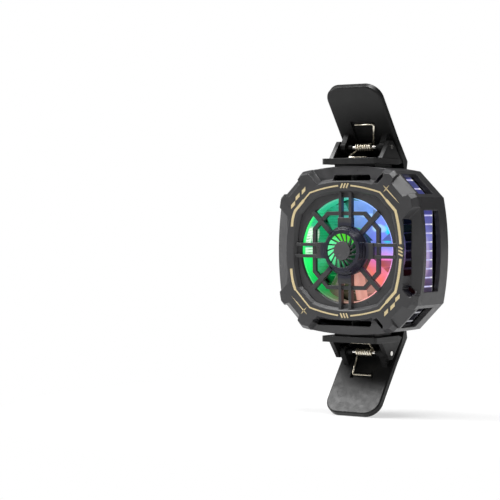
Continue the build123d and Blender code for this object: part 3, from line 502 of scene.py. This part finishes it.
def lit_fins():
    """Extruded fins: bright metal, with the lights' colours painted on as glow inside and at the
    windows, and painted shade darkening them elsewhere.
    """
    tree = Tree("lit_fin_metal")
    x, y, z = tree.axes()
    facing = tree.axes(tree.add("ShaderNodeTexCoord").outputs["Normal"])
    radius = from_axis(tree)
    wheel = wheel_colour(tree, BLADE_WHEEL, FIN_WAVER)
    inside = tree.span(radius, *FIN_INSIDE_FADE)
    violet = tree.ramp(tree.span(z, *FIN_HEIGHT_FADE), FIN_RAMP)
    mottle = tree.span(tree.noise(170, detail=3.0), *BAND, 0.65, 1.25)
    floor_glow = tree.mix(1.0, violet, grey(tree, mottle), "MULTIPLY")
    pale = spot(tree, *FIN_PATCH)
    floor_glow = tree.mix(tree.math("MULTIPLY", pale, 0.5), floor_glow, FIN_PALE)
    sides = tree.mix(1.0, violet, (0.3, 0.3, 0.3), "MULTIPLY")
    front = tree.math("LESS_THAN", facing[1], -0.5)
    glow = tree.mix(front, sides, floor_glow)
    ends = tree.math("GREATER_THAN", facing[0], 0.6)
    line = tree.mix(tree.span(y, *FIN_REAR_FADE), FIN_LINE_VIOLET, FIN_LINE_WHITE)
    line = tree.mix(tree.span(z, *FIN_LOW_FADE), line, FIN_LINE_GREY)
    glow = tree.mix(ends, glow, line)
    sideways = tree.math("ABSOLUTE", x)
    outward = tree.span(sideways, *FIN_OUTWARD_FADE)
    upward = tree.math("MULTIPLY", tree.span(tree.math("ABSOLUTE", z), *FIN_UPWARD_FADE),
                       tree.span(sideways, *FIN_CORNER_FADE))
    glow = tree.mix(tree.math("MAXIMUM", outward, upward), BLACK, glow)
    shaded = tree.math("MAXIMUM", tree.math("LESS_THAN", y, FIN_FRONT_SHADE),
                       tree.math("GREATER_THAN", y, FIN_REAR_SHADE))
    glow = tree.mix(shaded, glow, BLACK)
    dim = tree.mix(1.0, wheel, (0.5, 0.5, 0.5), "MULTIPLY")
    dim = tree.mix(tree.span(x, *FIN_RIGHT_FADE), dim, BLACK)
    glow = tree.mix(inside, glow, dim)
    mapping = tree.add("ShaderNodeMapping", {"Vector": tree.place(),
                                             "Scale": (40.0, 900.0, 2600.0)})
    lines = tree.noise(1.0, detail=5.0, roughness=0.6, vector=mapping.outputs[0])
    rough = tree.span(lines, 0.2, 0.8, 0.24, 0.4)
    # Painted shade: the metal turns near black where the fins lie in shadow, except at the side
    # windows
    painted_shade = tree.math("MAXIMUM", shaded, tree.math("GREATER_THAN", radius, FIN_PAINTED_SHADE_RADIUS))
    painted_shade = tree.math("MULTIPLY", painted_shade, tree.math("SUBTRACT", 1.0, outward))
    base = tree.mix(painted_shade, (0.30, 0.30, 0.32), (0.012, 0.012, 0.013))
    return tree.set(colour=base, metallic=1.0, roughness=rough,
                    normal=tree.bump(lines, 0.004 * MM, 0.5), glow=glow,
                    glow_strength=FIN_GLOW)


def gold_print():
    """Printed gold: pale, slightly metallic ink with fine flakes."""
    tree = Tree("gold_print")
    flakes = tree.noise(6500, detail=3.0, roughness=0.7)
    wear = tree.noise(700, detail=4.0, roughness=0.6)
    colour = tree.mix(tree.span(flakes, 0.35, 0.7), (0.52, 0.41, 0.21), (0.78, 0.66, 0.40))
    colour = tree.mix(tree.span(wear, 0.72, 0.82, 0.0, 0.35), colour, (0.28, 0.23, 0.14))
    return tree.set(colour=colour, metallic=0.35, roughness=tree.span(flakes, *BAND, 0.3, 0.5),
                    normal=tree.bump(flakes, 0.006 * MM, 0.5))


def foam():
    """Foam with small cells, darker where they are deep, as painted shade."""
    tree = Tree("gasket_foam")
    cells = tree.add("ShaderNodeTexVoronoi", {"Vector": tree.place(), "Scale": 1600.0})
    depth = cells.outputs["Distance"]
    colour = tree.mix(tree.span(depth, 0.0, 0.7), (0.02, 0.02, 0.021), (0.075, 0.075, 0.078))
    return tree.set(colour=colour, roughness=0.9, normal=tree.bump(depth, 0.1 * MM, 0.8))


def rubber():
    """Dull black rubber with fine grain and a little dust."""
    tree = Tree("pad_rubber")
    grain = tree.noise(3800, detail=4.0, roughness=0.65)
    dust = tree.noise(240, detail=5.0, roughness=0.6)
    colour = tree.mix(tree.span(dust, 0.35, 0.75), (0.020, 0.020, 0.021), (0.046, 0.046, 0.048))
    return tree.set(colour=colour, roughness=tree.span(grain, *BAND, 0.66, 0.85),
                    normal=tree.bump(grain, 0.03 * MM, 0.6), specular=0.3)


def board():
    """Circuit board: solder mask over a weave, with paler tracks."""
    tree = Tree("board_mask")
    weave = tree.add("ShaderNodeTexWave", {"Vector": tree.place(), "Scale": 900.0,
                                           "Distortion": 1.5})
    tracks = tree.add("ShaderNodeTexBrick", {"Vector": tree.place(), "Scale": 420.0,
                                             "Color1": (0.012, 0.07, 0.035, 1),
                                             "Color2": (0.016, 0.09, 0.045, 1),
                                             "Mortar": (0.03, 0.16, 0.07, 1),
                                             "Mortar Size": 0.04})
    colour = tree.mix(tree.span(weave.outputs["Fac"], 0, 1, 0.0, 0.12),
                      tracks.outputs["Color"], (0.05, 0.12, 0.08))
    return tree.set(colour=colour, roughness=0.32, coat=0.4,
                    normal=tree.bump(tracks.outputs["Fac"], 0.03 * MM, 0.5))


def emitter():
    """The light emitters, each in the colour of the ring before it."""
    tree = Tree("emitter_glow")
    colour = wheel_colour(tree, RING_WHEEL)
    grain = tree.noise(4000, detail=2.0)
    return tree.set(colour=tree.mix(0.5, (0.9, 0.85, 0.6), colour),
                    roughness=tree.span(grain, *BAND, 0.3, 0.45), glow=colour,
                    glow_strength=EMITTER_GLOW)


def ceramic():
    """Off-white ceramic with faint stains."""
    tree = Tree("module_ceramic")
    grain = tree.noise(5000, detail=3.0)
    stain = tree.noise(140, detail=4.0)
    colour = tree.mix(tree.span(stain, 0.3, 0.8, 0.0, 0.5), (0.84, 0.83, 0.80), (0.7, 0.68, 0.63))
    return tree.set(colour=colour, roughness=tree.span(grain, *BAND, 0.45, 0.6),
                    normal=tree.bump(grain, 0.01 * MM, 0.4))


def windings():
    """Enamelled copper wound on the stator, ring by ring, darker in the grooves between turns as
    painted shade.
    """
    tree = Tree("stator_windings")
    rings = tree.add("ShaderNodeTexWave", {"Vector": tree.place(), "Scale": 1100.0},
                     wave_type="RINGS", rings_direction="Y")
    colour = tree.mix(rings.outputs["Fac"], (0.20, 0.06, 0.02), (0.62, 0.27, 0.10))
    return tree.set(colour=colour, metallic=0.85, roughness=0.34,
                    normal=tree.bump(rings.outputs["Fac"], 0.05 * MM, 0.8))


def spring_wire():
    """Bright drawn wire with a warm tint and faint draw marks."""
    tree = Tree("spring_wire")
    marks = tree.noise(2600, detail=5.0, roughness=0.6)
    stain = tree.noise(380, detail=3.0)
    colour = tree.mix(tree.span(stain, *BAND), (0.74, 0.66, 0.50), (0.92, 0.87, 0.76))
    return tree.set(colour=colour, metallic=1.0, roughness=tree.span(marks, *WIDE_BAND, 0.2, 0.36),
                    normal=tree.bump(marks, 0.004 * MM, 0.5))


# A material for each slot of the record
materials = {
    "charcoal_plastic": moulded_plastic("charcoal_plastic", CHARCOAL, 0.34, edge=COVER_EDGE),
    "gloss_trim": moulded_plastic("satin_trim", trim_colour, 0.22, TRIM_GRAIN, glow=bore_light),
    "lever_plastic": moulded_plastic("lever_plastic", LEVER_BLACK, 0.36, LEVER_GRAIN, lever_sheen),
    "clear_diffuser": lit_ring(),
    "fan_plastic": lit_blades(),
    "board": board(),
    "emitter": emitter(),
    "fin_metal": lit_fins(),
    "plate_metal": brushed_metal("plate_aluminium", (0.70, 0.71, 0.73), 0.32,
                                 (60.0, 2000.0, 3400.0)),
    "ceramic": ceramic(),
    "foam": foam(),
    "pad_rubber": rubber(),
    "coil_metal": windings(),
    "magnet": brushed_metal("magnet_dark", (0.10, 0.10, 0.105), 0.5, (900.0, 900.0, 900.0)),
    "bearing": brushed_metal("bearing_bronze", (0.62, 0.42, 0.2), 0.4, (900.0, 200.0, 900.0)),
    "spring_steel": spring_wire(),
    "pin_steel": brushed_metal("pin_bright", (0.86, 0.84, 0.80), 0.16, (1800.0, 300.0, 300.0)),
    "screw_steel": brushed_metal("screw_dark", (0.16, 0.16, 0.17), 0.34, (900.0, 900.0, 900.0)),
    "socket_steel": brushed_metal("socket_bright", (0.6, 0.6, 0.62), 0.26,
                                  (200.0, 2400.0, 2400.0)),
}
slot_of = {part["node"]: part["material_slot"] for part in frame["record"]["subparts"]}


def dress(piece, material):
    """Give a piece this material and no other."""
    piece.data.materials.clear()
    piece.data.materials.append(material)


for name, piece in nodes.items():
    dress(piece, materials[slot_of[name]])
dress(nodes["fan_grille"], moulded_plastic("grille_plastic", grille_colour, 0.33, glow=bore_light))


# Pieces made from a mesh

def new_piece(name, mesh, body, slot):
    """A new piece that rides a body, with a slot of the record or a material of its own."""
    piece = bpy.data.objects.new(name, mesh)
    bpy.context.scene.collection.objects.link(piece)
    dress(piece, materials[slot] if isinstance(slot, str) else slot)
    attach(piece, body)
    return piece


# Gold print

def on_face(x, z, lift=0.0):
    """A point on the cover's face, or lifted off it."""
    return Vector((x, FACE_Y - lift, z))


def ribbon(points, widths, name):
    """A thin printed strip along a line on the cover's face, with a width at each point."""
    mesh = bpy.data.meshes.new(name)
    shape = bmesh.new()
    rows = []
    for index, (point, width) in enumerate(zip(points, widths)):
        before = points[max(index - 1, 0)]
        after = points[min(index + 1, len(points) - 1)]
        arrive = (point - before).normalized() if index else (after - point).normalized()
        leave = (after - point).normalized() if index < len(points) - 1 else arrive
        way = (arrive + leave).normalized()
        side = Vector((-way.y, way.x)) / max(MITRE_FLOOR, way.dot(arrive))
        rows.append([point + side * width / 2, point - side * width / 2])
    layers = []
    for lift in (0.0, PRINT_HEIGHT):
        layers.append([[shape.verts.new(on_face(p.x, p.y, lift)) for p in row] for row in rows])
    base, top = layers
    for index in range(len(rows) - 1):
        a, b = top[index], top[index + 1]
        shape.faces.new((a[0], b[0], b[1], a[1]))
        c, d = base[index], base[index + 1]
        shape.faces.new((c[1], d[1], d[0], c[0]))
        shape.faces.new((a[0], c[0], d[0], b[0]))
        shape.faces.new((b[1], d[1], c[1], a[1]))
    shape.faces.new((top[0][0], top[0][1], base[0][1], base[0][0]))
    shape.faces.new((top[-1][1], top[-1][0], base[-1][0], base[-1][1]))
    bmesh.ops.recalc_face_normals(shape, faces=shape.faces)
    shape.to_mesh(mesh)
    shape.free()
    return mesh


def patch(corners, name):
    """A thin printed patch on the cover's face with the given corners."""
    mesh = bpy.data.meshes.new(name)
    shape = bmesh.new()
    base = [shape.verts.new(on_face(corner.x, corner.y)) for corner in corners]
    top = [shape.verts.new(on_face(corner.x, corner.y, PRINT_HEIGHT)) for corner in corners]
    shape.faces.new(top)
    shape.faces.new(base)
    for index in range(len(corners)):
        nearby = (index + 1) % len(corners)
        shape.faces.new((base[index], base[nearby], top[nearby], top[index]))
    bmesh.ops.recalc_face_normals(shape, faces=shape.faces)
    shape.to_mesh(mesh)
    shape.free()
    return mesh


def join(meshes, name):
    """One mesh that holds several."""
    shape = bmesh.new()
    for mesh in meshes:
        shape.from_mesh(mesh)
    whole = bpy.data.meshes.new(name)
    shape.to_mesh(whole)
    shape.free()
    return whole


def arc_points(start, end, bow, count):
    """Points on a shallow arc from start to end that bows to the left of its way."""
    chord = end - start
    side = Vector((-chord.y, chord.x)).normalized()
    return [start + chord * share + side * bow * 4 * share * (1 - share)
            for share in (index / count for index in range(count + 1))]


# Places on the cover's face, in x and z from the fan axis
LINE_CREST = 26.2 * MM
BEND_TOP = Vector((16.5, 23.4)) * MM
BEND_SIDE = Vector((23.65, 16.0)) * MM
SIDE_CREST = 25.95 * MM
TICK_GAP = 2.9 * MM
LEFT_TOP_END = Vector((-25.1, 9.6)) * MM
LEFT_LOW_END = Vector((-25.5, -7.7)) * MM
TICK_LEAN = 0.9 * MM
TICK_LENGTH = 1.9 * MM
TICK_PITCH = 1.35 * MM
DASHES = [((-19.5, 24.3), 1.15), ((-22.4, 21.8), 1.3), ((-24.6, 18.5), 1.3)]   # half lengths
DASH_HEIGHT = 1.7 * MM               # measured straight up, as the dashes' ends stand upright
DASH_WAY = Vector((0.74, 0.67))
LINE_BOW = 0.35 * MM
LINE_STEPS = 10
STEP_HALF = 0.03                     # share of the corner over which the line widens
STEP_PLACE = 0.40                    # share of the corner at which it does
LOW_LEFT_STEP_PLACE = 0.95
STAR = Vector((19.4, 24.8)) * MM
STAR_WAY = Vector((0.71, -0.70))
STAR_WIDE = 0.5 * MM
STAR_TAIL_WIDE = 0.36 * MM
STAR_FINE = 0.06 * MM
STAR_TAIL = 8.2 * MM
STAR_TAIL_MIDDLE = 4.0 * MM
STAR_BACK = 2.0 * MM
STAR_SIDE = 1.9 * MM


def quadrant(side, rise, end, step_share=STEP_PLACE):
    """The printed line from the crest, round the corner, to its end, wide after a step."""
    start = Vector((side * TICK_GAP, rise * LINE_CREST))
    top_bend = Vector((side * BEND_TOP.x, rise * BEND_TOP.y))
    side_bend = Vector((side * BEND_SIDE.x, rise * BEND_SIDE.y))
    bow = LINE_BOW * side * rise
    first = arc_points(start, top_bend, bow, LINE_STEPS)
    step = [top_bend.lerp(side_bend, step_share + share) for share in (-STEP_HALF, STEP_HALF)]
    last = arc_points(side_bend, end, bow, LINE_STEPS)
    widths = [PRINT_NARROW] * (len(first) + 1) + [PRINT_WIDE] * (len(last) + 1)
    return ribbon(first + step + last, widths, "line")


def ticks(centre, along, lean):
    """Three slanted strokes side by side."""
    out = Vector((-along.y, along.x))
    meshes = []
    for index in (-1, 0, 1):
        middle = centre + along * TICK_PITCH * index
        low = middle - out * TICK_LENGTH / 2 - along * lean
        high = middle + out * TICK_LENGTH / 2 + along * lean
        meshes.append(ribbon([low, high], [PRINT_NARROW] * 2, "tick"))
    return meshes


def dashes():
    """Three short parallelograms with upright ends beside the corner facet."""
    meshes = []
    way = DASH_WAY.normalized()
    rise = Vector((0, DASH_HEIGHT / 2))
    for place, half_length in DASHES:
        middle = Vector(place) * MM
        half = way * half_length * MM
        meshes.append(patch([middle - half - rise, middle + half - rise, middle + half + rise,
                             middle - half + rise], "dash"))
    return meshes


def sparkle():
    """A four-pointed star with a long tapered tail."""
    way = STAR_WAY.normalized()
    side = Vector((way.y, -way.x))
    meshes = [ribbon([STAR, STAR + way * STAR_TAIL_MIDDLE, STAR + way * STAR_TAIL],
                     [STAR_WIDE, STAR_TAIL_WIDE, STAR_FINE], "tail"),
              ribbon([STAR, STAR - way * STAR_BACK], [STAR_WIDE, STAR_FINE], "point")]
    for sign in (-1, 1):
        meshes.append(ribbon([STAR, STAR + side * sign * STAR_SIDE], [STAR_WIDE, STAR_FINE],
                             "point"))
    return meshes


def turn_half(mesh):
    """A copy of a mesh, half a turn round the fan axis."""
    copy = mesh.copy()
    copy.transform(Matrix.Rotation(pi, 4, "Y"))
    return copy


def print_all():
    """All the gold print on the cover's face, as one piece."""
    right = Vector((1, 0))
    up = Vector((0, 1))
    meshes = dashes() + sparkle()
    meshes += [turn_half(mesh) for mesh in meshes]
    meshes += ticks(Vector((0, LINE_CREST)), right, TICK_LEAN / 2)
    meshes += ticks(Vector((0, -LINE_CREST)), right, -TICK_LEAN / 2)
    meshes += ticks(Vector((SIDE_CREST, 0)), up, TICK_LEAN / 2)
    meshes.append(quadrant(1, 1, Vector((SIDE_CREST, TICK_GAP))))
    meshes.append(quadrant(1, -1, Vector((SIDE_CREST, -TICK_GAP))))
    meshes.append(quadrant(-1, 1, LEFT_TOP_END))
    meshes.append(quadrant(-1, -1, LEFT_LOW_END, LOW_LEFT_STEP_PLACE))
    piece = new_piece("gold_lines", join(meshes, "gold_lines"), "root", gold_print())


# Springs

def tube(points, radius, name, sides=14):
    """A round wire along a line of points, with closed ends."""
    shape = bmesh.new()
    rings = []
    normal = None
    for index, point in enumerate(points):
        before = points[max(index - 1, 0)]
        after = points[min(index + 1, len(points) - 1)]
        way = (after - before).normalized()
        if normal is None:
            normal = way.orthogonal().normalized()
        normal = (normal - way * normal.dot(way)).normalized()
        across = way.cross(normal)
        rings.append([shape.verts.new(point + normal * radius * cos(2 * pi * side / sides)
                                      + across * radius * sin(2 * pi * side / sides))
                      for side in range(sides)])
    for first, second in zip(rings, rings[1:]):
        for side in range(sides):
            nearby = (side + 1) % sides
            shape.faces.new((first[side], first[nearby], second[nearby], second[side]))
    shape.faces.new(rings[0])
    shape.faces.new(rings[-1])
    bmesh.ops.recalc_face_normals(shape, faces=shape.faces)
    for face in shape.faces:
        face.smooth = len(face.verts) == 4
    mesh = bpy.data.meshes.new(name)
    shape.to_mesh(mesh)
    shape.free()
    return mesh


def bend(corner, before, after, radius, count=8):
    """Points round a corner between two directions."""
    centre = corner - before * radius + after * radius
    points = []
    for index in range(count + 1):
        angle = pi / 2 * index / count
        points.append(centre - after * radius * cos(angle) + before * radius * sin(angle))
    return points


def spring_points(pin):
    """Centre lines of the coil with its base leg, and of the hooked leg, for the upper clip."""
    ledge = pin.z - LEDGE_DROP
    start = -pi / 2 + BASE_SLOPE
    bar_out = POCKET_FLOOR - WIRE_RADIUS - POCKET_PLAY
    span = hypot(HOOK_LENGTH, COIL_MEAN_RADIUS)
    hook = LEVER_LEAN - asin(bar_out / span) + atan2(COIL_MEAN_RADIUS, HOOK_LENGTH)
    finish = 2 * pi * (COIL_TURNS - 1) + hook
    rise = (COIL_RIGHT - COIL_LEFT) / (finish - start)

    def at(angle):
        return Vector((COIL_LEFT + rise * (angle - start),
                       pin.y + COIL_MEAN_RADIUS * cos(angle),
                       pin.z + COIL_MEAN_RADIUS * sin(angle)))

    def way(angle):
        return Vector((rise, -COIL_MEAN_RADIUS * sin(angle),
                       COIL_MEAN_RADIUS * cos(angle))).normalized()

    steps = COIL_TURNS * COIL_STEPS
    coil = [at(start + (finish - start) * index / steps) for index in range(steps + 1)]
    right = Vector((1, 0, 0))
    drop = at(start).z - (ledge + LEDGE_PLAY + WIRE_RADIUS)
    base_way = way(start)
    base_corner = at(start) - base_way * drop / base_way.z
    base = [Vector((BASE_BAR_END, base_corner.y, base_corner.z))]
    base += bend(base_corner, right * -1, base_way, LEG_BEND)
    hook_way = way(finish)
    hook_corner = at(finish) + hook_way * HOOK_LENGTH
    leg = [at(finish)] + bend(hook_corner, hook_way, right * -1, LEG_BEND)
    leg.append(Vector((HOOK_BAR_END, hook_corner.y, hook_corner.z)))
    return base + coil, leg


def springs():
    """Both springs: each coil stays with the root, and its hooked leg turns with the lever."""
    coil, leg = spring_points(UPPER_PIN)
    for side in ("upper", "lower"):
        flip = Matrix.Rotation(pi if side == "lower" else 0, 3, "Y")
        coil_mesh = tube([flip @ point for point in coil], WIRE_RADIUS, side + "_coil")
        leg_mesh = tube([flip @ point for point in leg], WIRE_RADIUS, side + "_hook")
        piece = new_piece(side + "_spring_coil", coil_mesh, "root", "spring_steel")
        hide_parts(side + "_clip_spring")
        new_piece(side + "_spring_hook", leg_mesh, side + "_lever", "spring_steel")


# Ejector marks on the levers' front faces

def ejector_mark(side, x, up):
    """A faint raised ring that a mould's pin leaves on the tab's front face."""
    shape = bmesh.new()
    rings = []
    for out, height in ((MARK_RADIUS - MARK_WIDTH, 0.0),
                        (MARK_RADIUS - MARK_WIDTH / 2, MARK_LIFT), (MARK_RADIUS, 0.0)):
        row = []
        for index in range(MARK_SIDES):
            angle = 2 * pi * index / MARK_SIDES
            along = up + out * sin(angle)
            row.append(shape.verts.new(tab_point(x + out * cos(angle), along, height)))
        rings.append(row)
    for first, second in zip(rings, rings[1:]):
        for index in range(MARK_SIDES):
            nearby = (index + 1) % MARK_SIDES
            shape.faces.new((first[index], first[nearby], second[nearby], second[index]))
    bmesh.ops.recalc_face_normals(shape, faces=shape.faces)
    for face in shape.faces:
        face.smooth = True
    name = side + "_mould_mark_" + ("right" if x > 0 else "left")
    mesh = bpy.data.meshes.new(name)
    shape.to_mesh(mesh)
    shape.free()
    if side == "lower":
        mesh.transform(Matrix.Rotation(pi, 4, "Y"))
    new_piece(name, mesh, side + "_lever", "lever_plastic")


def tab_point(x, up, lift):
    """A point on the tab's front face, by its place along the tab from the pin."""
    face = TAB_FACE - lift
    return Vector((x, UPPER_PIN.y - up * sin(LEVER_LEAN) + face * cos(LEVER_LEAN),
                   UPPER_PIN.z + up * cos(LEVER_LEAN) + face * sin(LEVER_LEAN)))


# Building the pieces

for side in ("upper", "lower"):
    for x, up in MARKS:
        ejector_mark(side, x * MM, up * MM)
print_all()
springs()


# Stage

# Each lamp's place, its width and height in metres, and its power in watts
LAMPS = [
    ("key_light", (-0.51, -0.25, 0.70), (0.40, 0.55), 10.0),
    ("top_light", (0.10, -0.05, 0.7), (0.4, 0.4), 6.0),
    ("front_light", (-0.1, -1.1, 0.15), (0.9, 0.9), 0.12),
    ("right_light", (0.9, -0.2, 0.2), (0.5, 0.9), 0.7),
    ("left_light", (-0.85, -0.40, 0.05), (0.3, 0.9), 4.5),
]
LAMP_TARGET = Vector((0, -12, 0)) * MM
AMBIENT = 0.05
FLOOR_HALF_SIZE = 3.0
FLOOR_CELLS = 24
FLOOR_FADE = (0.03, 0.16)             # distance over which the floor turns white


def stage_material():
    """Pale floor that keeps the object's shadow and fades into a white surround."""
    tree = Tree("studio_floor")
    tree.set(colour=(0.86, 0.86, 0.86), roughness=0.9, specular=0.1)
    x, y, _ = tree.axes()
    distance = tree.math("SQRT", tree.math("ADD", tree.math("MULTIPLY", x, x),
                                           tree.math("MULTIPLY", y, y)))
    white = tree.add("ShaderNodeEmission", {"Color": (1, 1, 1, 1), "Strength": 1.0})
    rays = tree.add("ShaderNodeLightPath")
    seen = tree.math("MAXIMUM", rays.outputs["Is Camera Ray"], rays.outputs["Is Glossy Ray"])
    seen = tree.math("MAXIMUM", seen, rays.outputs["Is Transmission Ray"])
    share = tree.span(distance, *FLOOR_FADE, 0.62, 1.0)
    mixed = tree.add("ShaderNodeMixShader", {0: tree.math("MULTIPLY", seen, share)})
    tree.links.new(tree.shader.outputs[0], mixed.inputs[1])
    tree.links.new(white.outputs[0], mixed.inputs[2])
    tree.links.new(mixed.outputs[0], tree.output.inputs["Surface"])
    return tree.material


def floor():
    """The floor that the part stands on in the pictures."""
    shape = bmesh.new()
    bmesh.ops.create_grid(shape, x_segments=FLOOR_CELLS, y_segments=FLOOR_CELLS,
                          size=FLOOR_HALF_SIZE)
    mesh = bpy.data.meshes.new("floor")
    shape.to_mesh(mesh)
    shape.free()
    plane = bpy.data.objects.new("floor", mesh)
    plane.location = (0, 0, FLOOR_Z)
    bpy.context.scene.collection.objects.link(plane)
    plane.data.materials.append(stage_material())


def world():
    """A surround that looks white to the camera but lights the part only a little."""
    surround = bpy.data.worlds.new("studio")
    bpy.context.scene.world = surround
    surround.use_nodes = True
    tree = surround.node_tree
    background = tree.nodes["Background"]
    background.inputs["Color"].default_value = (1, 1, 1, 1)
    rays = tree.nodes.new("ShaderNodeLightPath")
    seen = tree.nodes.new("ShaderNodeMath")
    seen.operation = "MAXIMUM"
    tree.links.new(rays.outputs["Is Camera Ray"], seen.inputs[0])
    tree.links.new(rays.outputs["Is Transmission Ray"], seen.inputs[1])
    strength = tree.nodes.new("ShaderNodeMapRange")
    strength.inputs["To Min"].default_value = AMBIENT
    strength.inputs["To Max"].default_value = 1.0
    tree.links.new(seen.outputs[0], strength.inputs["Value"])
    tree.links.new(strength.outputs[0], background.inputs["Strength"])


def lamp(name, place, size, power):
    """A softbox that points at the middle of the part."""
    data = bpy.data.lights.new(name, "AREA")
    data.shape = "RECTANGLE"
    data.size, data.size_y = size
    data.energy = power
    light = bpy.data.objects.new(name, data)
    light.location = place
    way = LAMP_TARGET - Vector(place)
    light.rotation_euler = way.to_track_quat("-Z", "Y").to_euler()
    bpy.context.scene.collection.objects.link(light)


def camera():
    """The photograph's camera."""
    data = bpy.data.cameras.new("camera")
    data.sensor_width = SENSOR
    data.lens = CAMERA_LENS
    data.clip_start = 0.01
    eye = bpy.data.objects.new("camera", data)
    eye.location = CAMERA_PLACE
    forward = Vector((-sin(CAMERA_AZIMUTH) * cos(CAMERA_ELEVATION),
                      cos(CAMERA_AZIMUTH) * cos(CAMERA_ELEVATION), -sin(CAMERA_ELEVATION)))
    eye.rotation_euler = forward.to_track_quat("-Z", "Y").to_euler()
    bpy.context.scene.collection.objects.link(eye)
    bpy.context.scene.camera = eye


floor()
world()
for name, place, size, power in LAMPS:
    lamp(name, place, size, power)
camera()
bpy.context.scene.view_settings.view_transform = "Standard"
